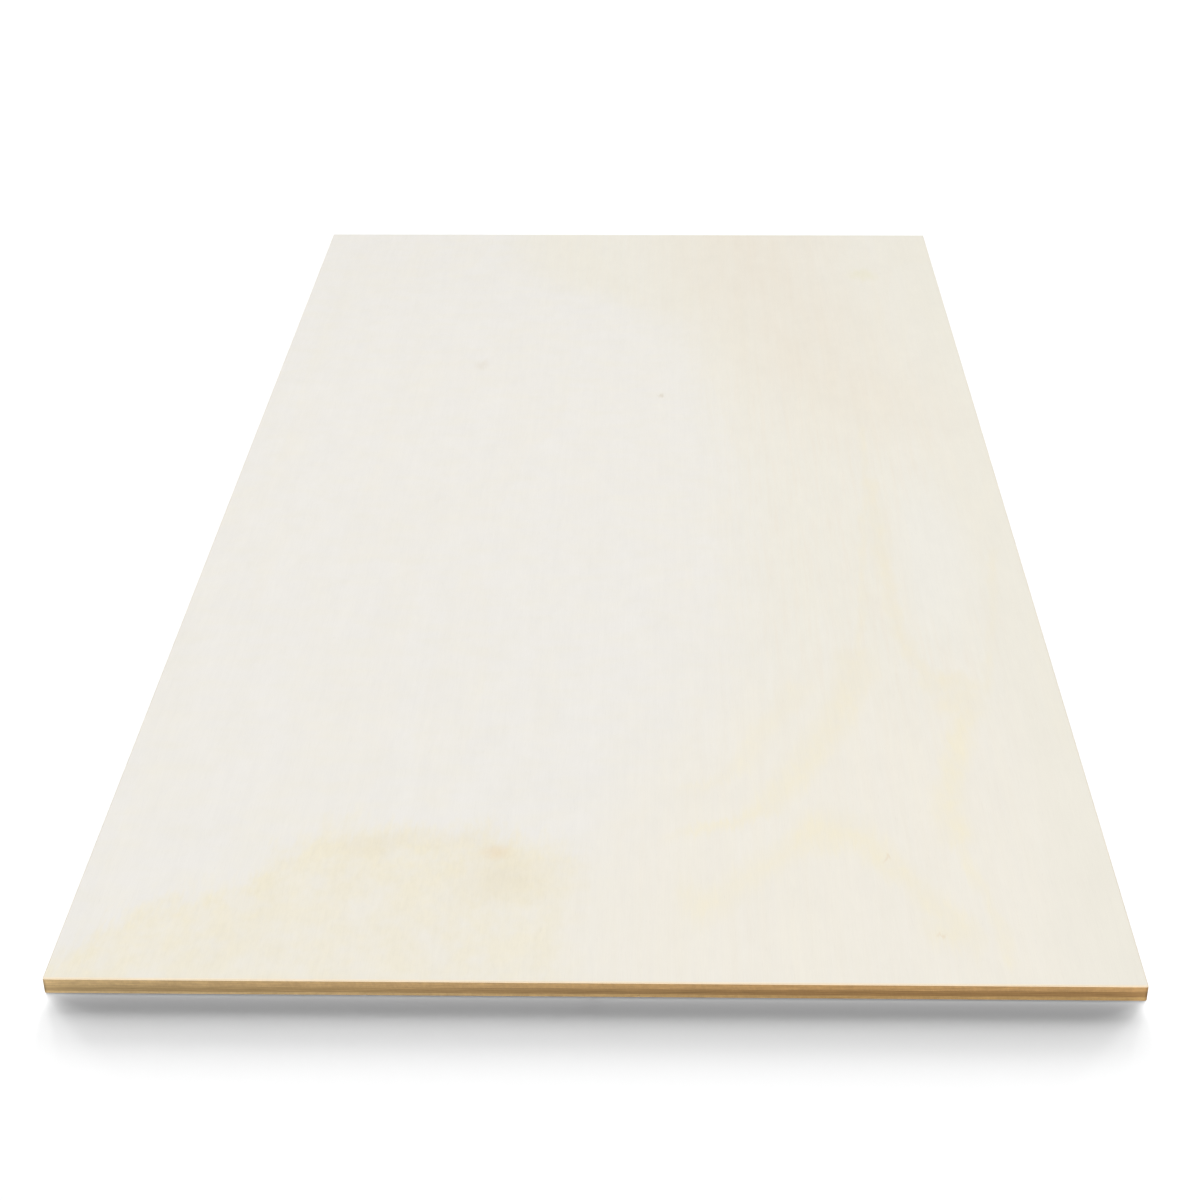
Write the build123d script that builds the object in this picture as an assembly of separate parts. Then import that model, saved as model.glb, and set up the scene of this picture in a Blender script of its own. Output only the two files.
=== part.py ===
from build123d import *
import os

# Plywood sheet: three rotary-cut veneers glued face to face and sawn to size together.
# It lies flat with its better face up. X runs across the sheet, Y along it and Z up through
# the plies. The origin is on the underside, at the middle of the sheet. Sizes are millimetres.

# The sawn sheet
sheet_width = 610.0
sheet_length = 1220.0

# The plies: the face and the back have their grain along the sheet, the core across it
face_veneer_thickness = 4.2
core_veneer_thickness = 3.6
back_veneer_thickness = 2.2

# Sanding: the four corners in plan, and the arrises all round the face and the back
corner_radius = 1.0
arris_radius = 0.5


def sawn_ply(thickness, underside):
    """One veneer with the sheet's outline, lying with its underside at the given height."""
    outline = RectangleRounded(sheet_width, sheet_length, corner_radius)
    return Pos(0, 0, underside) * extrude(outline, amount=thickness)


def sanded(outer_face):
    """The ply that a broad face belongs to, with the arris all round that face eased by sanding."""
    return fillet(outer_face.edges(), radius=arris_radius)


def back_veneer():
    """The lowest ply, which the sheet rests on, eased round its underside."""
    ply = sawn_ply(back_veneer_thickness, 0)
    return sanded(ply.faces().sort_by(Axis.Z)[0])


def core_veneer():
    """The cross-grained middle ply, flush with the other two on all four sawn edges."""
    return sawn_ply(core_veneer_thickness, back_veneer_thickness)


def face_veneer():
    """The top ply, eased round the face that shows."""
    ply = sawn_ply(face_veneer_thickness, back_veneer_thickness + core_veneer_thickness)
    return sanded(ply.faces().sort_by(Axis.Z)[-1])


os.makedirs("parts", exist_ok=True)
for make_ply in (back_veneer, core_veneer, face_veneer):
    export_step(make_ply(), f"parts/{make_ply.__name__}.step")
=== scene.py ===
import math

import bpy
from mathutils import Matrix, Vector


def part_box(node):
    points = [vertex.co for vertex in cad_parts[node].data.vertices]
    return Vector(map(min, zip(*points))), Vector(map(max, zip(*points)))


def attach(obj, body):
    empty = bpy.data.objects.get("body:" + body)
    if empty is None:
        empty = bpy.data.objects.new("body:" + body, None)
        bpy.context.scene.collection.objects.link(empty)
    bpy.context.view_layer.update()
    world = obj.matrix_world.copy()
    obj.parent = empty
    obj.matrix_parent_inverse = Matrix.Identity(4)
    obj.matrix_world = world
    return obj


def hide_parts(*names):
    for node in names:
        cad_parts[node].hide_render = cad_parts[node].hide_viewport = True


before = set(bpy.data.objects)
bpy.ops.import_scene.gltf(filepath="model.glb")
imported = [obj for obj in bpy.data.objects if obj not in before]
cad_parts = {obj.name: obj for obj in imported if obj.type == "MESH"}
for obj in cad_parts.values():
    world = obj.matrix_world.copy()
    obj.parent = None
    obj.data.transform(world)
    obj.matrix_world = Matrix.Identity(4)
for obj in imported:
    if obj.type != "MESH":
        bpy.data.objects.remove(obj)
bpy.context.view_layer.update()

# Back veneer: the lowest ply, peeled from a log as one long ribbon, dried and clipped to length.
# It is bare wood with its grain along the sheet, glued under the core. The three plies are sawn
# to size together, and this one has the arris round its underside eased with sandpaper.
back_low, back_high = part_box("back_veneer")
sheet_size = back_high - back_low
corner_radius = 0.001
corner_steps = 5
arris_radius = 0.0005
back_arris_share = 0.4
# The saw's cut: the length of its mesh steps, its tooth marks' pitch, depth and slant, how many marks they
# stray by, and over what size
saw_step = 0.0006
saw_pitch = 0.0026
saw_depth = 0.000015
saw_slant = 0.4
saw_stray = 1.5
saw_stray_size = (0.02, 0.02, 0.02)
# The glue lines: the length of their swells, the height over which one line's swells differ from the next's,
# how far they wander, and how they rise from left to right
lay_wave = 0.11
lay_apart = 0.0001
lay_wander = 0.0007
lay_drift = 2.3
# The broad faces' mesh: rings of triangles round the rim, each so many times as coarse as the last, the
# share of the wall's height that counts as its rim, and the gap that is welded shut
mesh_rings = 4
mesh_growth = 4
rim_share = 0.001
weld_gap = 0.000001
# The surface map: the face that shows, a small place for the hidden one, and the edge folded beside them
map_rim = 0.002
map_folds = 12
map_gap = 0.06
map_overrun = 1.01
shown_map_corner = (map_rim, map_rim, 0.0)
shown_map_size = (0.70, 0.996, 0.0)
hidden_map_corner = (0.705, map_rim, 0.0)
hidden_map_size = (0.03, 0.06, 0.0)
edge_map_start = 0.74
# The wood: the sizes of its fibres, figure, smears and relief
long_grain = (0.00045, 0.018, 0.00045)
long_figure = (0.045, 0.42, 0.02)
back_figure = (0.09, 0.7, 0.02)
fibre_depth = 0.00007
ring_thickness = 0.0011
edge_smear = (0.016, 0.016, 0.0007)
edge_bump = 0.00004
back_bump = 0.00001
# Its colours, and the shares of the sheet's width between which the edge goes from its left to its right tint
back_tint = (228, 214, 187)
back_late_tint = (219, 199, 162)
back_edge_left = (196, 168, 123)
back_edge_right = (181, 146, 94)
edge_tint_span = (-0.45, 0.2)
# The shade of the corners, and how far from the corner or the long side a tone starts and ends
corner_shade = 0.6
corner_shade_reach = (0.0005, 0.0022)
side_tone_reach = (0.0005, 0.0015)
# The arris that sandpaper has worn pale, with a painted highlight laid on it at the near end: its tints at
# the near end, worn and with the painted highlight, and elsewhere, its strength, the share of it that is worn
# most, the least share of the ply that it takes, and where the painted highlight at the near end stops
end_rub_and_highlight = (250, 234, 206)
side_rub = (240, 236, 226)
rub_and_highlight_strength = 0.95
rub_and_highlight_full = 0.3
rub_and_highlight_least = 0.001
near_highlight_reach = (0.001, 0.003)


def node_maker(tree):
    """A function that adds nodes to the tree and feeds each input, by name or number, a socket or a value."""

    def add(kind, feeds=None, **settings):
        made = tree.nodes.new(kind)
        for name, value in settings.items():
            setattr(made, name, value)
        for key, value in (feeds or {}).items():
            for feed in value if isinstance(value, list) else [value]:
                if isinstance(feed, bpy.types.NodeSocket):
                    tree.links.new(feed, made.inputs[key])
                else:
                    made.inputs[key].default_value = feed
        return made

    return add


def maths(add, operation, *values):
    """The result of one sum on plain numbers."""
    return add("ShaderNodeMath", dict(enumerate(values)), operation=operation).outputs[0]


def product(add, first, *others):
    """Values multiplied together."""
    for other in others:
        first = maths(add, "MULTIPLY", first, other)
    return first


def vectors(add, operation, *values):
    """The result of one sum on vectors."""
    return add("ShaderNodeVectorMath", dict(enumerate(values)), operation=operation).outputs[0]


def scaled(add, vector, factor):
    """A vector or colour times a plain number."""
    return add("ShaderNodeVectorMath", {0: vector, 3: factor}, operation="SCALE").outputs[0]


def distance(add, place, other):
    """How far apart two places are."""
    return add("ShaderNodeVectorMath", {0: place, 1: other}, operation="DISTANCE").outputs["Value"]


def ramp(add, value, start, end, first=0.0, last=1.0, shape="LINEAR"):
    """First up to start, last from end on, and a ramp between them."""
    feeds = {"Value": value, "From Min": start, "From Max": end, "To Min": first, "To Max": last}
    clamp = shape == "LINEAR"
    return add("ShaderNodeMapRange", feeds, interpolation_type=shape, clamp=clamp).outputs["Result"]


def eased(add, value, start, end, first=0.0, last=1.0):
    """A ramp that starts and ends gently."""
    return ramp(add, value, start, end, first, last, "SMOOTHSTEP")


def combined(add, x, y, z):
    """A vector of three values."""
    return add("ShaderNodeCombineXYZ", {"X": x, "Y": y, "Z": z}).outputs["Vector"]


def parts_of(add, vector):
    """The X, Y and Z of a vector."""
    return add("ShaderNodeSeparateXYZ", {"Vector": vector}).outputs


def noise(add, place, size, detail=2.0, roughness=0.5):
    """A value that wanders smoothly about a half, with swells of the given size."""
    vector = vectors(add, "DIVIDE", place, size)
    feeds = {"Vector": vector, "Scale": 1.0, "Detail": detail, "Roughness": roughness}
    return add("ShaderNodeTexNoise", feeds).outputs[0]


def fibrous(add, place, size):
    """A noise with finer and finer swells in it, as wood has."""
    return noise(add, place, size, 3.0, 0.6)


def new_sockets(tree, direction, names):
    """Named inputs or outputs of a node tree, and the identifier of each."""
    made = {}
    for name, kind in names.items():
        socket = tree.interface.new_socket(name, in_out=direction, socket_type="NodeSocket" + kind)
        made[name] = socket.identifier
    return made


def glue_shift(add, place, level, wander):
    """How far a glue line at this level has wandered up or down at a place on the sheet."""
    x, y, _ = parts_of(add, place)
    swell = noise(add, combined(add, x, y, level), (lay_wave, lay_wave, lay_apart))
    swell = maths(add, "SUBTRACT", swell, 0.5)
    return maths(add, "MULTIPLY", maths(add, "MULTIPLY_ADD", x, lay_drift, swell), wander)


def arris_turn(add, outwards, share):
    """Angle turned round an eased arris, which takes the given share of the way out to the broad face."""
    return ramp(add, outwards, maths(add, "SUBTRACT", 1.0, share), 1.0, 0.0, math.pi / 2)


def tooth_mark(add, place):
    """How deep a place on the sawn edge lies in one of the saw's slanting tooth marks, from 0 to 1."""
    x, y, z = parts_of(add, place)
    slant = maths(add, "MULTIPLY_ADD", z, saw_slant, maths(add, "ADD", x, y))
    stray = maths(add, "MULTIPLY", noise(add, place, saw_stray_size), saw_stray)
    tooth = maths(add, "FRACT", maths(add, "ADD", maths(add, "DIVIDE", slant, saw_pitch), stray))
    return maths(add, "MULTIPLY", maths(add, "PINGPONG", tooth, 0.5), 2.0)


sawn_ply = bpy.data.node_groups.new("sawn_ply", "GeometryNodeTree")
new_sockets(sawn_ply, "OUTPUT", {"Ply": "Geometry"})
ply_inputs = new_sockets(sawn_ply, "INPUT", {
    "Size": "Vector",
    "Underside": "Float",
    "Top": "Float",
    "Corner Radius": "Float",
    "Lower Arris": "Float",
    "Lower Arris Share": "Float",
    "Upper Arris": "Float",
    "Upper Arris Share": "Float",
    "Rows": "Int",
    "Lower Wander": "Float",
    "Upper Wander": "Float",
    "Fibre Size": "Vector",
    "Fibre Depth": "Float",
    "Chip One": "Vector",
    "Chip Two": "Vector",
    "Chip Radius": "Float",
    "Chip Depth": "Float",
    "Lower Map Corner": "Vector",
    "Lower Map Size": "Vector",
    "Upper Map Corner": "Vector",
    "Upper Map Size": "Vector",
    "Edge Map Start": "Float",
    "Edge Finish": "Material",
    "Lower Finish": "Material",
    "Upper Finish": "Material",
})
add = node_maker(sawn_ply)
given = add("NodeGroupInput").outputs
width, length, _ = parts_of(add, given["Size"])

# The saw's path round the sheet, and a wall of rows that stands on it
outline = add("GeometryNodeCurvePrimitiveQuadrilateral", {"Width": width, "Height": length}).outputs[0]
feeds = {"Curve": outline, "Count": corner_steps, "Radius": given["Corner Radius"]}
outline = add("GeometryNodeFilletCurve", feeds, mode="POLY").outputs[0]
around = add("GeometryNodeCurveLength", {"Curve": outline}).outputs[0]
columns = maths(add, "ROUND", maths(add, "DIVIDE", around, saw_step))
outline = add("GeometryNodeResampleCurve", {"Curve": outline, "Count": columns}, mode="COUNT").outputs[0]
feeds = {"Vertices X": maths(add, "ADD", columns, 1.0), "Vertices Y": given["Rows"]}
wall = add("GeometryNodeMeshGrid", feeds).outputs["Mesh"]
index = add("GeometryNodeInputIndex").outputs[0]
column = maths(add, "FLOOR", maths(add, "DIVIDE", index, given["Rows"]))
row = maths(add, "SUBTRACT", index, maths(add, "MULTIPLY", column, given["Rows"]))
row_share = maths(add, "DIVIDE", row, maths(add, "SUBTRACT", given["Rows"], 1.0))
column_share = maths(add, "DIVIDE", column, columns)
for name, value in {"through_ply": row_share, "round_sheet": column_share}.items():
    feeds = {"Geometry": wall, "Name": name, "Value": value}
    wall = add("GeometryNodeStoreNamedAttribute", feeds, data_type="FLOAT", domain="POINT").outputs[0]
through = add("GeometryNodeInputNamedAttribute", {"Name": "through_ply"}, data_type="FLOAT").outputs[0]
round_sheet = add("GeometryNodeInputNamedAttribute", {"Name": "round_sheet"}, data_type="FLOAT").outputs[0]

# The wall's height at each row, with the eased arris where the ply has one
upper_turn = arris_turn(add, through, given["Upper Arris Share"])
lower_turn = arris_turn(add, maths(add, "SUBTRACT", 1.0, through), given["Lower Arris Share"])
arris_start = maths(add, "SUBTRACT", 1.0, given["Upper Arris Share"])
straight = ramp(add, through, given["Lower Arris Share"], arris_start,
                maths(add, "ADD", given["Underside"], given["Lower Arris"]),
                maths(add, "SUBTRACT", given["Top"], given["Upper Arris"]))
rise = maths(add, "MULTIPLY", given["Upper Arris"], maths(add, "SINE", upper_turn))
drop = maths(add, "MULTIPLY", given["Lower Arris"], maths(add, "SINE", lower_turn))
height = maths(add, "SUBTRACT", maths(add, "ADD", straight, rise), drop)
sanded_upper = maths(add, "COSINE", upper_turn)
sanded_lower = maths(add, "COSINE", lower_turn)
upper_inset = maths(add, "MULTIPLY", given["Upper Arris"], maths(add, "SUBTRACT", 1.0, sanded_upper))
lower_inset = maths(add, "MULTIPLY", given["Lower Arris"], maths(add, "SUBTRACT", 1.0, sanded_lower))

# The relief of the sawn face: torn fibres, tooth marks and two small chips
cut = add("GeometryNodeSampleCurve", {"Curves": outline, "Factor": round_sheet}, mode="FACTOR").outputs
cut_x, cut_y, _ = parts_of(add, cut["Position"])
cut_place = combined(add, cut_x, cut_y, height)
fibre_dent = maths(add, "MULTIPLY", fibrous(add, cut_place, given["Fibre Size"]), given["Fibre Depth"])
saw_dent = maths(add, "MULTIPLY", tooth_mark(add, cut_place), saw_depth)
dent = maths(add, "ADD", fibre_dent, saw_dent)
for chip in ("Chip One", "Chip Two"):
    from_chip = distance(add, cut_place, given[chip])
    hollow = eased(add, from_chip, 0.0, given["Chip Radius"], given["Chip Depth"], 0.0)
    dent = maths(add, "ADD", dent, hollow)
dent = maths(add, "MULTIPLY", dent, maths(add, "MULTIPLY", sanded_upper, sanded_lower))
inset = maths(add, "ADD", dent, maths(add, "ADD", upper_inset, lower_inset))
outwards = vectors(add, "NORMALIZE", vectors(add, "CROSS_PRODUCT", cut["Tangent"], (0.0, 0.0, 1.0)))
inwards = scaled(add, outwards, maths(add, "MULTIPLY", inset, -1.0))
place = vectors(add, "ADD", cut_place, inwards)
lower_shift = glue_shift(add, place, given["Underside"], given["Lower Wander"])
upper_shift = glue_shift(add, place, given["Top"], given["Upper Wander"])
shift = ramp(add, through, given["Lower Arris Share"], arris_start, lower_shift, upper_shift)
place = vectors(add, "ADD", place, combined(add, 0.0, 0.0, shift))
wall = add("GeometryNodeSetPosition", {"Geometry": wall, "Position": place}).outputs[0]

# The wall's strip of the surface map, folded into rows beside the broad face
fold = add("GeometryNodeFieldOnDomain", {"Value": round_sheet}, data_type="FLOAT", domain="FACE").outputs[0]
fold = maths(add, "FLOOR", maths(add, "MULTIPLY", fold, float(map_folds)))
run = maths(add, "SUBTRACT", maths(add, "MULTIPLY", round_sheet, float(map_folds)), fold)
map_y = ramp(add, run, 0.0, map_overrun, map_rim, 1.0 - map_rim)
map_row = maths(add, "ADD", fold, ramp(add, through, 0.0, 1.0, map_gap, 1.0 - map_gap))
map_x = ramp(add, map_row, 0.0, float(map_folds), given["Edge Map Start"], 1.0)
feeds = {"Geometry": wall, "Name": "OFBake", "Value": combined(add, map_x, map_y, 0.0)}
wall = add("GeometryNodeStoreNamedAttribute", feeds, data_type="FLOAT2", domain="CORNER").outputs[0]
wall = add("GeometryNodeMergeByDistance", {"Geometry": wall, "Distance": weld_gap}).outputs[0]


def broad_face(add, wall, rim, level, wander, map_corner, map_size):
    """The flat face inside one rim of the wall, in rings of triangles that grow away from the rim."""
    loop = add("GeometryNodeMeshToCurve", {"Mesh": wall, "Selection": rim}).outputs[0]
    rings = []
    step, inset = saw_step, 0.0
    for _ in range(mesh_rings):
        step = step * mesh_growth
        inset = inset + step
        inner = add("GeometryNodeCurvePrimitiveQuadrilateral", {
            "Width": maths(add, "SUBTRACT", width, 2 * inset),
            "Height": maths(add, "SUBTRACT", length, 2 * inset),
        }).outputs[0]
        inner = add("GeometryNodeResampleCurve", {"Curve": inner, "Length": step}, mode="LENGTH").outputs[0]
        between = add("GeometryNodeJoinGeometry", {"Geometry": [loop, inner]}).outputs[0]
        rings.append(add("GeometryNodeFillCurve", {"Curve": between}).outputs[0])
        loop = inner
    rings.append(add("GeometryNodeFillCurve", {"Curve": loop}).outputs[0])
    flat = add("GeometryNodeJoinGeometry", {"Geometry": rings}).outputs[0]
    spot = add("GeometryNodeInputPosition").outputs[0]
    x, y, _ = parts_of(add, spot)
    height = maths(add, "ADD", level, glue_shift(add, spot, level, wander))
    feeds = {"Geometry": flat, "Position": combined(add, x, y, height)}
    flat = add("GeometryNodeSetPosition", feeds).outputs[0]
    share = vectors(add, "ADD", vectors(add, "DIVIDE", spot, given["Size"]), (0.5, 0.5, 0.0))
    mapped = vectors(add, "MULTIPLY_ADD", share, map_size, map_corner)
    feeds = {"Geometry": flat, "Name": "OFBake", "Value": mapped}
    flat = add("GeometryNodeStoreNamedAttribute", feeds, data_type="FLOAT2", domain="CORNER").outputs[0]
    return add("GeometryNodeSetShadeSmooth", {"Geometry": flat, "Shade Smooth": False}).outputs[0]


upper_rim = maths(add, "GREATER_THAN", through, 1.0 - rim_share)
lower_rim = maths(add, "LESS_THAN", through, rim_share)
upper_face = broad_face(add, wall, upper_rim, given["Top"], given["Upper Wander"],
                        given["Upper Map Corner"], given["Upper Map Size"])
lower_face = broad_face(add, wall, lower_rim, given["Underside"], given["Lower Wander"],
                        given["Lower Map Corner"], given["Lower Map Size"])
lower_face = add("GeometryNodeFlipFaces", {"Mesh": lower_face}).outputs[0]
surfaces = []
for number, surface in enumerate((wall, lower_face, upper_face)):
    feeds = {"Geometry": surface, "Name": "surface", "Value": float(number)}
    surface = add("GeometryNodeStoreNamedAttribute", feeds, data_type="FLOAT", domain="FACE").outputs[0]
    surfaces.append(surface)
ply = add("GeometryNodeJoinGeometry", {"Geometry": surfaces}).outputs[0]
ply = add("GeometryNodeMergeByDistance", {"Geometry": ply, "Distance": weld_gap}).outputs[0]
ply = add("GeometryNodeRealizeInstances", {"Geometry": ply}).outputs[0]
ply = add("GeometryNodeSetMaterial", {"Geometry": ply, "Material": given["Edge Finish"]}).outputs[0]
for number, finish in ((1.0, "Lower Finish"), (2.0, "Upper Finish")):
    surface = add("GeometryNodeInputNamedAttribute", {"Name": "surface"}, data_type="FLOAT").outputs[0]
    chosen = maths(add, "COMPARE", surface, number, 0.1)
    feeds = {"Geometry": ply, "Selection": chosen, "Material": given[finish]}
    ply = add("GeometryNodeSetMaterial", feeds).outputs[0]
for name in ("surface", "round_sheet"):
    ply = add("GeometryNodeRemoveAttribute", {"Geometry": ply, "Name": name}).outputs[0]
add("NodeGroupOutput", {"Ply": ply})


def made_by(tree, identifiers, name, values):
    """A plain mesh piece that a geometry tree makes from its named values."""
    maker = bpy.data.objects.new(name, bpy.data.meshes.new(name))
    bpy.context.scene.collection.objects.link(maker)
    modifier = maker.modifiers.new("maker", "NODES")
    modifier.node_group = tree
    for key, value in values.items():
        modifier[identifiers[key]] = value
    graph = bpy.context.evaluated_depsgraph_get()
    shaped = maker.evaluated_get(graph)
    mesh = bpy.data.meshes.new_from_object(shaped, preserve_all_data_layers=True, depsgraph=graph)
    maker.modifiers.remove(modifier)
    maker.data = mesh
    mesh.name = name
    if mesh.materials[0] is None:
        mesh.materials.pop(index=0)
    return maker


def linear(red, green, blue):
    """A screen colour from 0 to 255 as the light values that a colour socket takes."""
    shares = (value / 255 for value in (red, green, blue))
    levels = (share / 12.92 if share <= 0.04045 else ((share + 0.055) / 1.055) ** 2.4 for share in shares)
    return (*levels, 1.0)


def blended(add, share, first, second):
    """The first colour with a share of the second laid over it."""
    return add("ShaderNodeMix", {0: share, 6: first, 7: second}, data_type="RGBA").outputs[2]


# Wood in the solid, so that a broad face shows long grain and a cut across it shows end grain
veneer_wood = bpy.data.node_groups.new("veneer_wood", "ShaderNodeTree")
new_sockets(veneer_wood, "INPUT", {
    "Position": "Vector",
    "Fibre Size": "Vector",
    "Figure Size": "Vector",
    "Ring Thickness": "Float",
    "Ring Drift": "Float",
})
new_sockets(veneer_wood, "OUTPUT", {
    "Fibre": "Float",
    "Streak": "Float",
    "Pore": "Float",
    "Late Wood": "Float",
})
add = node_maker(veneer_wood)
given = add("NodeGroupInput").outputs
fibre = fibrous(add, given["Position"], given["Fibre Size"])
streak_size = vectors(add, "MULTIPLY", given["Fibre Size"], (7.0, 7.0, 7.0))
streak = noise(add, given["Position"], streak_size)
pore_size = vectors(add, "MULTIPLY", given["Fibre Size"], (0.8, 0.45, 0.8))
pore = eased(add, noise(add, given["Position"], pore_size, 1.0), 0.66, 0.76)
drift = maths(add, "MULTIPLY", noise(add, given["Position"], given["Figure Size"]), given["Ring Drift"])
depth = parts_of(add, given["Position"])["Z"]
ring = maths(add, "FRACT", maths(add, "ADD", maths(add, "DIVIDE", depth, given["Ring Thickness"]), drift))
late = maths(add, "MULTIPLY", eased(add, ring, 0.3, 0.88), eased(add, ring, 0.93, 1.0, 1.0, 0.0))
add("NodeGroupOutput", {"Fibre": fibre, "Streak": streak, "Pore": pore, "Late Wood": late})

# The saw's tooth marks, which slant down the edge, and the dark glue lines
saw_cut = bpy.data.node_groups.new("saw_cut", "ShaderNodeTree")
new_sockets(saw_cut, "INPUT", {
    "Position": "Vector",
    "Through Ply": "Float",
    "Glue Below": "Float",
    "Glue Above": "Float",
})
new_sockets(saw_cut, "OUTPUT", {"Tooth Mark": "Float", "Glue Line": "Float"})
add = node_maker(saw_cut)
given = add("NodeGroupInput").outputs
below_top = maths(add, "SUBTRACT", 1.0, given["Through Ply"])
lower_glue = eased(add, given["Through Ply"], 0.0, given["Glue Below"], 1.0, 0.0)
upper_glue = eased(add, below_top, 0.0, given["Glue Above"], 1.0, 0.0)
add("NodeGroupOutput", {
    "Tooth Mark": tooth_mark(add, given["Position"]),
    "Glue Line": maths(add, "MAXIMUM", lower_glue, upper_glue),
})


def sawn_edge(name, left_tint, right_tint, fibre_size, figure_size, glue, lift, side_tone, arris=(0.0, 0.0)):
    """Finish of a ply's sawn edge, from the tint at the sheet's left to the tint at its right."""
    material = bpy.data.materials.new(name)
    material.use_nodes = True
    add = node_maker(material.node_tree)
    shader = material.node_tree.nodes["Principled BSDF"]
    place = add("ShaderNodeTexCoord").outputs["Object"]
    through = add("ShaderNodeAttribute", attribute_name="through_ply").outputs["Fac"]
    wood = add("ShaderNodeGroup", {
        "Position": place, "Fibre Size": fibre_size, "Figure Size": figure_size,
        "Ring Thickness": ring_thickness, "Ring Drift": 3.0,
    }, node_tree=veneer_wood).outputs
    cut = add("ShaderNodeGroup", {
        "Position": place, "Through Ply": through, "Glue Below": glue[0], "Glue Above": glue[1],
    }, node_tree=saw_cut).outputs
    x, y, _ = parts_of(add, place)
    tint_start, tint_end = (sheet_size.x * share for share in edge_tint_span)
    across = ramp(add, x, tint_start, tint_end)
    tint = blended(add, across, linear(*left_tint), linear(*right_tint))
    from_side = maths(add, "SUBTRACT", sheet_size.x / 2, maths(add, "ABSOLUTE", x))
    from_end = maths(add, "SUBTRACT", sheet_size.y / 2, maths(add, "ABSOLUTE", y))
    from_corner = maths(add, "MAXIMUM", from_side, from_end)
    smear = noise(add, place, edge_smear, 2.0, 0.6)
    tone = product(
        add,
        eased(add, through, 0.0, 0.5, lift[0], lift[1]),
        eased(add, through, 0.5, 1.0, 1.0, lift[2] / lift[1]),
        eased(add, from_corner, *corner_shade_reach, corner_shade, 1.0),
        eased(add, from_side, *side_tone_reach, side_tone, 1.0),
        ramp(add, smear, 0.36, 0.64, 0.9, 1.1),
        ramp(add, wood["Fibre"], 0.25, 0.75, 0.9, 1.1),
        ramp(add, wood["Streak"], 0.3, 0.7, 0.92, 1.08),
        ramp(add, wood["Late Wood"], 0.0, 1.0, 1.05, 0.9),
        ramp(add, wood["Pore"], 0.0, 1.0, 1.0, 0.72),
        ramp(add, cut["Tooth Mark"], 0.0, 1.0, 1.015, 0.98),
        ramp(add, cut["Glue Line"], 0.0, 1.0, 1.0, 0.78),
    )
    colour = scaled(add, tint, tone)
    # The arris is worn pale by sandpaper all round; at the near end its paler, warmer tint is a painted
    # highlight
    if max(arris) > 0.0:
        below_top = maths(add, "SUBTRACT", 1.0, through)
        below = eased(add, through, arris[0] * rub_and_highlight_full, max(arris[0], rub_and_highlight_least), rub_and_highlight_strength, 0.0)
        above = eased(add, below_top, arris[1] * rub_and_highlight_full, max(arris[1], rub_and_highlight_least), rub_and_highlight_strength, 0.0)
        rub_and_highlight = maths(add, "MAXIMUM", below, above)
        end_start, end_stop = (back_low.y + reach for reach in near_highlight_reach)
        near_highlight = eased(add, y, end_start, end_stop, 1.0, 0.0)
        colour = blended(add, rub_and_highlight, colour, blended(add, near_highlight, linear(*side_rub), linear(*end_rub_and_highlight)))
    relief = maths(add, "SUBTRACT", wood["Fibre"], maths(add, "MULTIPLY", wood["Pore"], 0.6))
    normal = add("ShaderNodeBump", {"Height": relief, "Strength": 1.0, "Distance": edge_bump}).outputs[0]
    roughness = ramp(add, wood["Fibre"], 0.25, 0.75, 0.72, 0.9)
    material.node_tree.links.new(colour, shader.inputs["Base Color"])
    material.node_tree.links.new(normal, shader.inputs["Normal"])
    material.node_tree.links.new(roughness, shader.inputs["Roughness"])
    shader.inputs["Specular IOR Level"].default_value = 0.25
    return material


def plain_face(name, tint, late_tint):
    """Finish of a broad face with an ordinary rotary-cut figure."""
    material = bpy.data.materials.new(name)
    material.use_nodes = True
    add = node_maker(material.node_tree)
    shader = material.node_tree.nodes["Principled BSDF"]
    place = add("ShaderNodeTexCoord").outputs["Object"]
    wood = add("ShaderNodeGroup", {
        "Position": place, "Fibre Size": long_grain, "Figure Size": back_figure,
        "Ring Thickness": ring_thickness, "Ring Drift": 11.0,
    }, node_tree=veneer_wood).outputs
    late = maths(add, "MULTIPLY", wood["Late Wood"], 0.6)
    colour = blended(add, late, linear(*tint), linear(*late_tint))
    tone = product(
        add,
        ramp(add, wood["Fibre"], 0.25, 0.75, 0.965, 1.03),
        ramp(add, wood["Streak"], 0.3, 0.7, 0.98, 1.02),
        ramp(add, wood["Pore"], 0.0, 1.0, 1.0, 0.93),
    )
    relief = maths(add, "SUBTRACT", wood["Fibre"], wood["Pore"])
    normal = add("ShaderNodeBump", {"Height": relief, "Strength": 1.0, "Distance": back_bump}).outputs[0]
    roughness = ramp(add, wood["Fibre"], 0.25, 0.75, 0.62, 0.78)
    material.node_tree.links.new(scaled(add, colour, tone), shader.inputs["Base Color"])
    material.node_tree.links.new(normal, shader.inputs["Normal"])
    material.node_tree.links.new(roughness, shader.inputs["Roughness"])
    shader.inputs["Specular IOR Level"].default_value = 0.25
    return material


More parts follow.
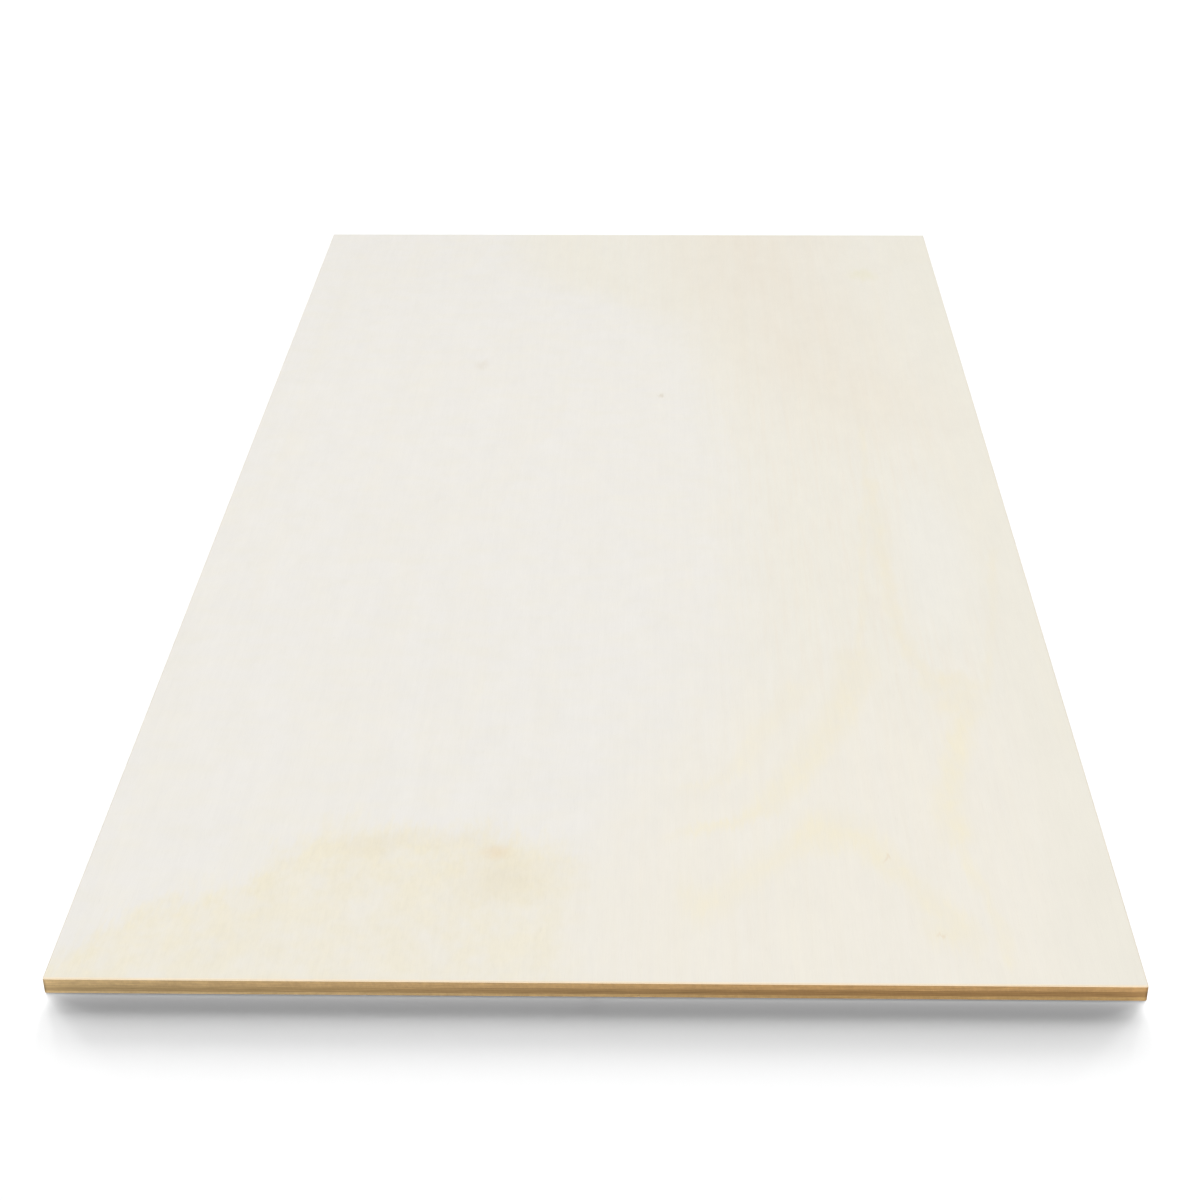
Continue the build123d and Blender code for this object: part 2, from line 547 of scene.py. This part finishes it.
back_edge = sawn_edge("back_sawn_edge", back_edge_left, back_edge_right, long_grain, long_figure,
                      glue=(0.0, 0.06), lift=(1.05, 1.03, 0.92), side_tone=1.05, arris=(0.2, 0.0))
back_face = plain_face("back_sanded_face", back_tint, back_late_tint)
back_veneer = made_by(sawn_ply, ply_inputs, "back_ply", {
    "Size": sheet_size,
    "Underside": back_low.z,
    "Top": back_high.z,
    "Corner Radius": corner_radius,
    "Lower Arris": arris_radius,
    "Lower Arris Share": back_arris_share,
    "Rows": 11,
    "Upper Wander": lay_wander,
    "Fibre Size": long_grain,
    "Fibre Depth": fibre_depth,
    "Chip One": (-0.1265, back_low.y, 0.0009),
    "Chip Two": (0.0249, back_low.y, 0.0007),
    "Chip Radius": 0.0014,
    "Chip Depth": 0.0008,
    "Lower Map Corner": shown_map_corner,
    "Lower Map Size": shown_map_size,
    "Upper Map Corner": hidden_map_corner,
    "Upper Map Size": hidden_map_size,
    "Edge Map Start": edge_map_start,
    "Edge Finish": back_edge,
    "Lower Finish": back_face,
    "Upper Finish": back_edge,
})
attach(back_veneer, "root")
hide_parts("back_veneer")

# Core veneer: the middle ply, a browner peeled veneer laid with its grain across the sheet.
# It is glued between the other two under a hot press, and shows only on the four sawn edges.
core_low, core_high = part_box("core_veneer")
cross_grain = (0.018, 0.00045, 0.00045)
cross_figure = (0.42, 0.045, 0.02)
core_fibre_depth = 0.0001
core_lower_map_corner = (map_rim, map_rim, 0.0)
core_upper_map_corner = (map_rim, 0.07, 0.0)
core_edge_map_start = 0.04
core_edge_left = (163, 138, 97)
core_edge_right = (149, 115, 72)
core_edge = sawn_edge("core_sawn_edge", core_edge_left, core_edge_right, cross_grain, cross_figure,
                      glue=(0.05, 0.05), lift=(1.02, 1.0, 1.22), side_tone=0.82)
core_veneer = made_by(sawn_ply, ply_inputs, "core_ply", {
    "Size": sheet_size,
    "Underside": core_low.z,
    "Top": core_high.z,
    "Corner Radius": corner_radius,
    "Rows": 9,
    "Lower Wander": lay_wander,
    "Upper Wander": lay_wander,
    "Fibre Size": cross_grain,
    "Fibre Depth": core_fibre_depth,
    "Lower Map Corner": core_lower_map_corner,
    "Lower Map Size": hidden_map_size,
    "Upper Map Corner": core_upper_map_corner,
    "Upper Map Size": hidden_map_size,
    "Edge Map Start": core_edge_map_start,
    "Edge Finish": core_edge,
    "Lower Finish": core_edge,
    "Upper Finish": core_edge,
})
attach(core_veneer, "root")
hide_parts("core_veneer")

# Face veneer: the top ply, the palest and best of the peel, with its grain along the sheet.
# Its broad face is sanded bare wood. The peel knife cut the growth rings at a slant, and left them
# as soft arches near the right corner, a patch of warmer wood with a pin knot, and straight streaks.
face_low, face_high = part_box("face_veneer")
face_arris_share = 0.33333
face_figure = (0.16, 0.9, 0.02)
face_bump = 0.000006
# How the drawn figure wanders: the sizes of the swells in it, and how far they carry it
figure_wanders = (
    ((0.045, 0.14, 1.0), (0.012, 0.02, 0.0)),
    ((0.016, 0.03, 1.0), (0.012, 0.018, 0.0)),
    ((0.0022, 0.045, 1.0), (0.004, 0.022, 0.0)),
)
patch_wander = ((0.02, 0.026, 1.0), (0.024, 0.018, 0.0))
knot_wander = ((0.005, 0.006, 1.0), (0.004, 0.004, 0.0))
# The sizes of the swells in the wood's streaks, flecks and clouds
straight_streak_size = (0.009, 0.55, 1.0)
short_streak_size = (0.004, 0.075, 1.0)
mottle_size = (0.009, 0.022, 1.0)
cloud_size = (0.026, 0.055, 1.0)
ripple_size = (0.032, 0.017, 1.0)
far_cloud_size = (0.022, 0.11, 1.0)
patch_cloud_size = (0.02, 0.028, 1.0)
heart_fleck_size = (0.0032, 0.009, 1.0)
# Where each kind of wood starts and ends, where the lighter tints of the near end give way, and where a
# painted shade dims the face towards the far end, in metres along the sheet from its middle
near_zone = (-0.42, -0.2)
fleck_zone = (0.15, 0.35)
far_zone = (0.0, 0.26)
far_shade_zone = (0.1, 0.6)
# The same across the sheet, in shares of its width, the first of them from the side of the pale middle
margin_zone = (-0.07, 0.09)
right_side_zone = (0.9, 0.98)
patch_side_zone = (0.44, 0.51)
# The colours of the face and of its edge
sap_tint = (239, 236, 230)
margin_tint = (239, 235, 223)
near_tint = (241, 236, 224)
fleck_tint = (238, 231, 218)
far_tint = (237, 230, 216)
ring_tint = (242, 235, 214)
upper_ring_tint = (239, 232, 213)
oval_tint = (239, 236, 227)
side_tint = (238, 234, 222)
patch_tint = (241, 234, 213)
smear_tint = (234, 226, 205)
knot_tint = (235, 207, 163)
face_edge_left = (187, 159, 114)
face_edge_right = (187, 148, 97)
# Each line of the figure: the way it runs, its width in millimetres, its strength, and points on it,
# along that way and across it, in millimetres from the middle of the sheet
face_rings = (
    ("x", 50.0, 0.7, ((40, -520), (50, -531), (58, -538), (67, -536), (83, -519), (102, -499), (120, -478),
                      (140, -463))),
    ("x", 60.0, 1.0, ((110, -488), (124, -470), (140, -461), (157, -468), (173, -493), (188, -524),
                      (203, -554), (218, -581))),
    ("y", 36.0, 0.9, ((-479, 40), (-470, 50), (-461, 64), (-453, 83), (-441, 100), (-418, 113), (-398, 123),
                      (-373, 136), (-348, 145), (-318, 156), (-288, 165), (-230, 174))),
    ("y", 10.0, 0.55, ((-260, 174), (-180, 182), (-117, 187), (-40, 194), (49, 201), (144, 204))),
    ("y", 28.0, 0.5, ((-434, 40), (-418, 58), (-403, 80), (-383, 94), (-358, 101), (-333, 113), (-313, 122),
                      (-270, 132))),
    ("y", 27.0, 1.0, ((-485, 218), (-463, 215), (-443, 215), (-418, 216), (-388, 224), (-358, 232),
                      (-328, 239), (-290, 243))),
    ("y", 13.0, 0.6, ((-606, 235), (-553, 231), (-518, 225), (-488, 219), (-455, 215))),
    ("y", 18.0, 0.8, ((-312, 232), (-290, 223), (-270, 215), (-250, 209), (-208, 203), (-150, 202),
                      (-78, 202), (40, 202))),
    ("y", 11.0, 0.5, ((-312, 252), (-274, 260), (-230, 268), (-180, 274), (-130, 281), (-78, 292))),
)
# How far a line's band reaches each way, as a share of its width, and the share of the sheet it fades over
ring_spread = 0.6
ring_fade = 0.018
# Where the rings run together: middle and reach in millimetres, and strength, at its full within a share
# of the reach
ring_blots = (
    ((137, -470), (32, 24), 0.85),
    ((203, -562), (24, 28), 1.0),
    ((231, -290), (30, 24), 1.0),
    ((237, -314), (22, 32), 1.0),
)
blot_full = 0.2
# The right side of the pale middle, and the line that the pinker wood at the far end follows, its width,
# and how far along it runs
plateau_side = ((-610, -20), (-540, -15), (-468, 5), (-418, 25), (-368, 50), (-268, 85), (-50, 86), (120, 78),
                (260, 60), (360, 45), (430, -20), (500, -90), (610, -110))
far_line = ((0, 226), (180, 202), (300, 170), (450, 136), (610, 128))
far_band = 230.0
far_end = 700
# The far rim of the patch, how ragged it is, where it fades in and where it is darkest, in metres, and the
# darker smears in the patch: middle and reach in millimetres, and strength
patch_ragged = 0.06
patch_fade = (0.016, 0.06)
patch_dark = (0.02, 0.085)
patch_rim = ((-305, -590), (-290, -573), (-267, -538), (-210, -508), (-185, -470), (-160, -455), (-105, -464),
             (-60, -462), (-35, -472), (-10, -482), (20, -492), (305, -500))
patch_smears = (
    ((-140, -481), (42, 18), 0.45),
    ((-92, -475), (62, 13), 0.3),
    ((-57, -513), (46, 36), 0.55),
)
smear_full = 0.0
# The oval mark and the knot: middle and reach in millimetres, strength, and the full share of the reach
oval_mark = ((240, -104), (40, 175), 0.85, 0.3)
knot_mark = ((-62, -487), (13, 12), 0.32, 0.05)
# The other marks on the face: middle and reach in millimetres, strength and tint
face_marks = (
    ((232, 490), (20, 24), 0.5, (235, 230, 205)),
    ((-125, 262), (9, 17), 0.35, (226, 218, 204)),
    ((35, 198), (4, 7), 0.5, (214, 204, 186)),
    ((174, -491), (3, 4), 0.25, (222, 196, 160)),
    ((195, -568), (3, 4), 0.25, (222, 196, 160)),
)
mark_full = 0.1
# A painted highlight on the face's rim at the near end: how far from the near end it reaches, and how strong
# it is
rim_highlight_reach = (0.0007, 0.0024)
rim_highlight_strength = 0.8


def drawn_line(add, share, runs, points):
    """A line drawn on the sheet: its share across the sheet at a share along the way it runs."""
    along, across = (sheet_size.x, sheet_size.y) if runs == "x" else (sheet_size.y, sheet_size.x)
    places = [(run / 1000 / along + 0.5, side / 1000 / across + 0.5) for run, side in points]
    node = add("ShaderNodeFloatCurve", {"Factor": 1.0, "Value": share})
    node.mapping.use_clip = False
    node.mapping.extend = "HORIZONTAL"
    curve = node.mapping.curves[0]
    curve.points[0].location = places[0]
    curve.points[-1].location = places[-1]
    for place in places[1:-1]:
        curve.points.new(*place)
    node.mapping.update()
    return node.outputs[0]


def wandered(add, place, size, reach):
    """A place moved about by a smooth random amount of up to half the given reach each way."""
    feeds = {"Vector": vectors(add, "DIVIDE", place, size), "Scale": 1.0, "Detail": 2.0}
    swell = add("ShaderNodeTexNoise", feeds).outputs[1]
    swing = vectors(add, "SUBTRACT", swell, (0.5, 0.5, 0.5))
    return vectors(add, "MULTIPLY_ADD", swing, reach, place)


def sheet_shares(add, place):
    """How far across and along the sheet a place is, as shares of its width and length."""
    whole = (1 / sheet_size.x, 1 / sheet_size.y, 0.0)
    across, along, _ = parts_of(add, vectors(add, "MULTIPLY_ADD", place, whole, (0.5, 0.5, 0.0)))
    return across, along


def stain(add, place, centre, reach, strength, full):
    """A soft round or oval mark on the face, full within a share of its reach and gone at its rim."""
    half = (reach[0] / 1000, reach[1] / 1000, 1.0)
    middle = (centre[0] / reach[0], centre[1] / reach[1], face_high.z)
    out = distance(add, vectors(add, "DIVIDE", place, half), middle)
    return eased(add, out, full, 1.0, strength, 0.0)


# One growth ring that the peel has laid bare: a soft band along a line, which fades out at both ends
ring_band = bpy.data.node_groups.new("ring_band", "ShaderNodeTree")
new_sockets(ring_band, "INPUT", {
    "Across": "Float",
    "Along": "Float",
    "Half Width": "Float",
    "Strength": "Float",
    "Start": "Float",
    "End": "Float",
})
new_sockets(ring_band, "OUTPUT", {"Ring": "Float"})
add = node_maker(ring_band)
given = add("NodeGroupInput").outputs
out = maths(add, "ABSOLUTE", given["Across"])
body = eased(add, out, 0.0, given["Half Width"], given["Strength"], 0.0)
begins = eased(add, given["Along"], given["Start"], maths(add, "ADD", given["Start"], ring_fade))
ends = eased(add, given["Along"], maths(add, "SUBTRACT", given["End"], ring_fade), given["End"], 1.0, 0.0)
add("NodeGroupOutput", {"Ring": product(add, body, begins, ends)})

face_finish = bpy.data.materials.new("face_sanded_face")
face_finish.use_nodes = True
add = node_maker(face_finish.node_tree)
face_shader = face_finish.node_tree.nodes["Principled BSDF"]
place = add("ShaderNodeTexCoord").outputs["Object"]
wood = add("ShaderNodeGroup", {
    "Position": place, "Fibre Size": long_grain, "Figure Size": face_figure,
    "Ring Thickness": ring_thickness, "Ring Drift": 7.0,
}, node_tree=veneer_wood).outputs
spot = place
for wander in figure_wanders:
    spot = wandered(add, spot, *wander)
spot_y = parts_of(add, spot)["Y"]
share_x, share_y = sheet_shares(add, spot)
straight_streak = fibrous(add, place, straight_streak_size)
short_streak = fibrous(add, place, short_streak_size)
mottle = fibrous(add, place, mottle_size)
cloud = fibrous(add, place, cloud_size)
ripple = fibrous(add, place, ripple_size)


def laid_bare(add, runs, band, strength, points, end=None):
    """How much of a drawn line's band shows at each place on the sheet."""
    along, across = (share_x, share_y) if runs == "x" else (share_y, share_x)
    reach, stretch = (sheet_size.x, sheet_size.y) if runs == "x" else (sheet_size.y, sheet_size.x)
    start, last = points[0][0], points[-1][0]
    return add("ShaderNodeGroup", {
        "Across": maths(add, "SUBTRACT", across, drawn_line(add, along, runs, points)),
        "Along": along,
        "Half Width": ring_spread * band / 1000 / stretch,
        "Strength": strength,
        "Start": start / 1000 / reach + 0.5,
        "End": (last if end is None else end) / 1000 / reach + 0.5,
    }, node_tree=ring_band).outputs["Ring"]


# Warmer wood to the right of the pale middle, and at the far end
side = drawn_line(add, share_y, "y", plateau_side)
margin = product(
    add,
    eased(add, maths(add, "SUBTRACT", share_x, side), *margin_zone),
    ramp(add, straight_streak, 0.3, 0.7, 0.7, 1.0),
)
near = eased(add, spot_y, *near_zone, 1.0, 0.0)
margin_colour = blended(add, near, linear(*margin_tint), linear(*near_tint))
rippled = ramp(add, ripple, 0.42, 0.68, 0.0, 0.4)
colour = blended(add, rippled, linear(*sap_tint), linear(*margin_tint))
colour = blended(add, margin, colour, margin_colour)
flecked = product(
    add,
    margin,
    ramp(add, short_streak, 0.46, 0.66, 0.0, 0.6),
    ramp(add, near, 0.0, 1.0, 1.0, 0.3),
    eased(add, spot_y, *fleck_zone, 1.0, 0.4),
)
colour = blended(add, flecked, colour, linear(*fleck_tint))
right_side = product(
    add,
    eased(add, share_x, *right_side_zone),
    ramp(add, mottle, 0.35, 0.65, 0.5, 1.0),
)
colour = blended(add, right_side, colour, linear(*side_tint))
colour = blended(add, stain(add, spot, *oval_mark), colour, linear(*oval_tint))
far_wood = product(
    add,
    laid_bare(add, "y", far_band, 1.0, far_line, far_end),
    eased(add, spot_y, *far_zone),
    ramp(add, straight_streak, 0.3, 0.7, 0.7, 1.05),
    ramp(add, noise(add, place, far_cloud_size), 0.35, 0.6, 0.7, 1.05),
)
colour = blended(add, far_wood, colour, linear(*far_tint))

# The rings that the peel laid bare, near the right corner
rings = maths(add, "MULTIPLY", wood["Late Wood"], 0.1)
for ring in face_rings:
    rings = maths(add, "MAXIMUM", rings, laid_bare(add, *ring))
for blot in ring_blots:
    rings = maths(add, "MAXIMUM", rings, stain(add, spot, *blot, blot_full))
rings = product(
    add,
    rings,
    ramp(add, mottle, 0.35, 0.65, 0.6, 1.1),
    ramp(add, cloud, 0.35, 0.6, 0.65, 1.1),
)
ring_colour = blended(add, near, linear(*upper_ring_tint), linear(*ring_tint))
colour = blended(add, rings, colour, ring_colour)

# The patch of heartwood at the near left, darker along its far rim and beside its pin knot
patch_x, patch_y = sheet_shares(add, wandered(add, spot, *patch_wander))
inside = maths(add, "SUBTRACT", drawn_line(add, patch_x, "x", patch_rim), patch_y)
inside = maths(add, "MULTIPLY", inside, sheet_size.y)
patch = product(
    add,
    eased(add, maths(add, "MULTIPLY_ADD", mottle, patch_ragged, inside), *patch_fade),
    eased(add, patch_x, *patch_side_zone, 1.0, 0.0),
    ramp(add, share_x, 0.12, 0.42, 0.97, 1.05),
    ramp(add, inside, *patch_dark, 1.0, 0.7),
    ramp(add, fibrous(add, place, patch_cloud_size), 0.36, 0.6, 0.5, 1.05),
)
colour = blended(add, patch, colour, linear(*patch_tint))
heart_fleck = noise(add, place, heart_fleck_size, 2.0, 0.6)
patch_fleck = maths(add, "MULTIPLY", patch, ramp(add, heart_fleck, 0.42, 0.68, 0.0, 0.03))
for smear in patch_smears:
    colour = blended(add, stain(add, spot, *smear, smear_full), colour, linear(*smear_tint))
knot_place = wandered(add, place, *knot_wander)
colour = blended(add, stain(add, knot_place, *knot_mark), colour, linear(*knot_tint))
for *mark, tint in face_marks:
    colour = blended(add, stain(add, spot, *mark, mark_full), colour, linear(*tint))
# A painted highlight: the face's rim at the near end takes the arris's pale tint
rim_highlight_start, rim_highlight_stop = (back_low.y + reach for reach in rim_highlight_reach)
rim_highlight = eased(add, parts_of(add, place)["Y"], rim_highlight_start, rim_highlight_stop, rim_highlight_strength, 0.0)
colour = blended(add, rim_highlight, colour, linear(*end_rub_and_highlight))

# Fine grain over all of it, and a painted shade that dims the face a little towards its far end
tone = product(
    add,
    ramp(add, wood["Fibre"], 0.25, 0.75, 0.986, 1.014),
    ramp(add, wood["Streak"], 0.3, 0.7, 0.995, 1.005),
    ramp(add, mottle, 0.3, 0.7, 0.993, 1.007),
    ramp(add, cloud, 0.3, 0.7, 0.99, 1.01),
)
tone = product(
    add,
    maths(add, "SUBTRACT", tone, patch_fleck),
    # painted shade: the face a fiftieth darker towards its far end
    eased(add, spot_y, *far_shade_zone, 1.0, 0.98),
    ramp(add, wood["Pore"], 0.0, 1.0, 1.0, 0.97),
)
relief = maths(add, "SUBTRACT", wood["Fibre"], wood["Pore"])
normal = add("ShaderNodeBump", {"Height": relief, "Strength": 1.0, "Distance": face_bump}).outputs[0]
roughness = ramp(add, wood["Fibre"], 0.25, 0.75, 0.82, 0.94)
face_finish.node_tree.links.new(scaled(add, colour, tone), face_shader.inputs["Base Color"])
face_finish.node_tree.links.new(normal, face_shader.inputs["Normal"])
face_finish.node_tree.links.new(roughness, face_shader.inputs["Roughness"])
face_shader.inputs["Specular IOR Level"].default_value = 0.12
face_edge = sawn_edge("face_sawn_edge", face_edge_left, face_edge_right, long_grain, long_figure,
                      glue=(0.04, 0.0), lift=(0.92, 0.99, 1.03), side_tone=1.05, arris=(0.0, 0.4))
face_veneer = made_by(sawn_ply, ply_inputs, "face_ply", {
    "Size": sheet_size,
    "Underside": face_low.z,
    "Top": face_high.z,
    "Corner Radius": corner_radius,
    "Upper Arris": arris_radius,
    "Upper Arris Share": face_arris_share,
    "Rows": 13,
    "Lower Wander": lay_wander,
    "Fibre Size": long_grain,
    "Fibre Depth": fibre_depth,
    "Lower Map Corner": hidden_map_corner,
    "Lower Map Size": hidden_map_size,
    "Upper Map Corner": shown_map_corner,
    "Upper Map Size": shown_map_size,
    "Edge Map Start": edge_map_start,
    "Edge Finish": face_edge,
    "Lower Finish": face_edge,
    "Upper Finish": face_finish,
})
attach(face_veneer, "root")
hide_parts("face_veneer")

# Floor: a plain white studio floor, laid in a left and a right half. Each half has soft low lights
# behind its own end of the sheet, so that the shadow along the near edge tapers in at both corners.
# The sheet has soft lights of its own, and throws none of its colour on to the floor.
floor_reach = 12.0
floor_level = -0.0002
# The lights behind the sheet: how many times the sheet's thickness their shadow reaches, the slants that
# they come in at, how wide each is, and the light that they give together
back_lights = (
    ("low_light", 5.7, (5, 20, 36), 9.0, 0.25),
    ("shadow_light", 2.75, (8, 32, 54), 26.0, 0.52),
)
# A small light at each near corner, and a weak strip of light thrown back from the near edge
corner_light_energy = 0.0018
corner_light_size = 0.003
corner_light_gap = (0.002, 0.003)
corner_light_height = 0.011
bounce_energy = 0.002
bounce_width = 0.006
bounce_gap = 0.0005
bounce_height = 0.0032
fill_strength = 0.12
white = (1.0, 1.0, 1.0, 1.0)
floor_paint = bpy.data.materials.new("white_floor")
floor_paint.use_nodes = True
floor_shader = floor_paint.node_tree.nodes["Principled BSDF"]
floor_shader.inputs["Base Color"].default_value = white
floor_shader.inputs["Roughness"].default_value = 1.0
floor_shader.inputs["Specular IOR Level"].default_value = 0.0


def turned(angle, axis):
    """A turn about an axis, in degrees."""
    return Matrix.Rotation(math.radians(angle), 4, axis)


def placed(name, lamp, lit, matrix):
    """A lamp put in its place, which lights only the given collection."""
    holder = bpy.data.objects.new(name, lamp)
    holder.matrix_world = matrix
    holder.light_linking.receiver_collection = lit
    bpy.context.scene.collection.objects.link(holder)
    return holder


def soft_sun(name, compass, elevation, spread, level, lit):
    """A soft far light that gives a level face of whatever it lights the stated share of full light."""
    lamp = bpy.data.lights.new(name, "SUN")
    lamp.energy = level * math.pi / math.sin(math.radians(elevation))
    lamp.angle = math.radians(spread)
    placed(name, lamp, lit, turned(compass, "Z") @ turned(90 - elevation, "X"))


for side, turn, start, end in (("left", 1.0, -floor_reach, 0.0), ("right", -1.0, 0.0, floor_reach)):
    half_mesh = bpy.data.meshes.new("floor_" + side)
    corners = [(start, -floor_reach), (end, -floor_reach), (end, floor_reach), (start, floor_reach)]
    half_mesh.from_pydata([(x, y, floor_level) for x, y in corners], [], [(0, 1, 2, 3)])
    half_mesh.materials.append(floor_paint)
    floor_half = bpy.data.objects.new("floor_" + side, half_mesh)
    bpy.context.scene.collection.objects.link(floor_half)
    half_lit = bpy.data.collections.new("lit_floor_" + side)
    half_lit.objects.link(floor_half)
    for name, reach, slants, spread, level in back_lights:
        for slant in slants:
            elevation = math.degrees(math.atan(math.cos(math.radians(slant)) / reach))
            soft_sun(f"{name}_{slant}_{side}", compass=180.0 + turn * slant, elevation=elevation,
                     spread=spread, level=level / len(slants), lit=half_lit)
    soft_sun("floor_front_light_" + side, compass=0.0, elevation=30.0, spread=30.0, level=0.165, lit=half_lit)
    corner_lamp = bpy.data.lights.new("corner_light_" + side, "POINT")
    corner_lamp.energy = corner_light_energy
    corner_lamp.shadow_soft_size = corner_light_size
    corner_place = (turn * (back_low.x - corner_light_gap[0]), back_low.y - corner_light_gap[1],
                    corner_light_height)
    placed("corner_light_" + side, corner_lamp, half_lit, Matrix.Translation(corner_place))
    bounce_lamp = bpy.data.lights.new("bounce_light_" + side, "AREA")
    bounce_lamp.shape = "RECTANGLE"
    bounce_lamp.size = sheet_size.x / 2
    bounce_lamp.size_y = bounce_width
    bounce_lamp.energy = bounce_energy
    bounce_place = (-turn * sheet_size.x / 4, back_low.y - bounce_gap, bounce_height)
    bounce_light = placed("bounce_light_" + side, bounce_lamp, half_lit,
                          Matrix.Translation(bounce_place) @ turned(90, "X") @ turned(180, "Y"))
    bounce_light.visible_camera = False
sheet_lit = bpy.data.collections.new("lit_sheet")
for piece in (back_veneer, core_veneer, face_veneer):
    sheet_lit.objects.link(piece)
    piece.visible_diffuse = False
soft_sun("left_front_light", compass=-40.0, elevation=36.0, spread=40.0, level=0.305, lit=sheet_lit)
soft_sun("right_front_light", compass=40.0, elevation=36.0, spread=40.0, level=0.305, lit=sheet_lit)
soft_sun("back_light", compass=180.0, elevation=50.0, spread=40.0, level=0.264, lit=sheet_lit)
sky = bpy.data.worlds.new("studio")
bpy.context.scene.world = sky
sky.use_nodes = True
add = node_maker(sky.node_tree)
sky.node_tree.nodes.clear()
ray = add("ShaderNodeLightPath").outputs
mirrored = maths(add, "MAXIMUM", ray["Is Glossy Ray"], ray["Is Transmission Ray"])
seen = maths(add, "MAXIMUM", ray["Is Camera Ray"], mirrored)
fill = add("ShaderNodeBackground", {"Color": white, "Strength": fill_strength}).outputs[0]
backdrop = add("ShaderNodeBackground", {"Color": white, "Strength": 1.0}).outputs[0]
sky_light = add("ShaderNodeMixShader", {0: seen, 1: fill, 2: backdrop}).outputs[0]
add("ShaderNodeOutputWorld", {"Surface": sky_light})

# Camera: a short telephoto in front of the near edge, above it and a little to the right of the middle.
# It looks down along the sheet, and the shift sets the sheet in the frame as the photograph has it.
camera_place = (0.0366, -1.5712, 0.7807)
camera_turn = 1.026
camera_tilt = 61.14
camera_roll = -0.239
camera_lens = bpy.data.cameras.new("camera")
camera_lens.lens = 66.142
camera_lens.sensor_width = 36.0
camera_lens.shift_x = -0.0225
camera = bpy.data.objects.new("camera", camera_lens)
camera.matrix_world = (Matrix.Translation(camera_place) @ turned(camera_turn, "Z")
                       @ turned(camera_tilt, "X") @ turned(camera_roll, "Z"))
bpy.context.scene.collection.objects.link(camera)
bpy.context.scene.camera = camera
bpy.context.scene.view_settings.view_transform = "Standard"
